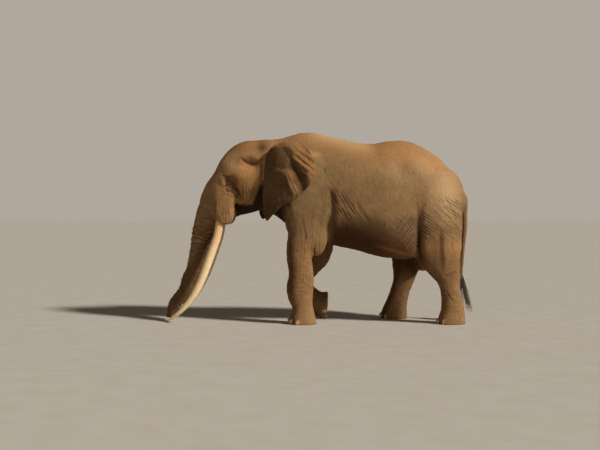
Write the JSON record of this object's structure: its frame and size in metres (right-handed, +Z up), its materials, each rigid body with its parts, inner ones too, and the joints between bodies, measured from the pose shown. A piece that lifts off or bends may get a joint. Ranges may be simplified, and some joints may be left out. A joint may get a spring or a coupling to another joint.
{
  "type": "African savanna elephant bull, still life-size model",
  "caption": "Life-size still model of a big African savanna bull elephant with very long tusks, in mid stride with the head lowered.",
  "frame": {"origin": "on the floor under the middle of the model's box", "axes": "-X the way the animal faces, -Y its left side, +Z up from the floor it stands on"},
  "size_m": [5.3115, 1.5248, 3.2841],
  "materials": {
    "hide": "dry wrinkled skin under reddish dust",
    "ivory": "satin, stained towards the lip",
    "eye": "wet gloss",
    "nail": "dull horn",
    "hair": "coarse bristle"
  },
  "bodies": {
    "root": {"belly": "hide", "chest": "hide", "ear_left": "hide", "ear_right": "hide", "eye_left": "eye", "eye_right": "eye", "forearm_left": "hide", "forearm_right": "hide", "forefoot_left": "hide", "forefoot_right": "hide", "head": "hide", "hindfoot_left": "hide", "hindfoot_right": "hide", "lower_jaw": "hide", "neck": "hide", "rump": "hide", "shank_left": "hide", "shank_right": "hide", "tail": "hide", "tail_tuft": "hair", "thigh_left": "hide", "thigh_right": "hide", "trunk_lower": "hide", "trunk_middle": "hide", "trunk_upper": "hide", "tusk_left": "ivory", "tusk_right": "ivory", "wrist_left": "hide", "wrist_right": "hide"}
  },
  "joints": []
}
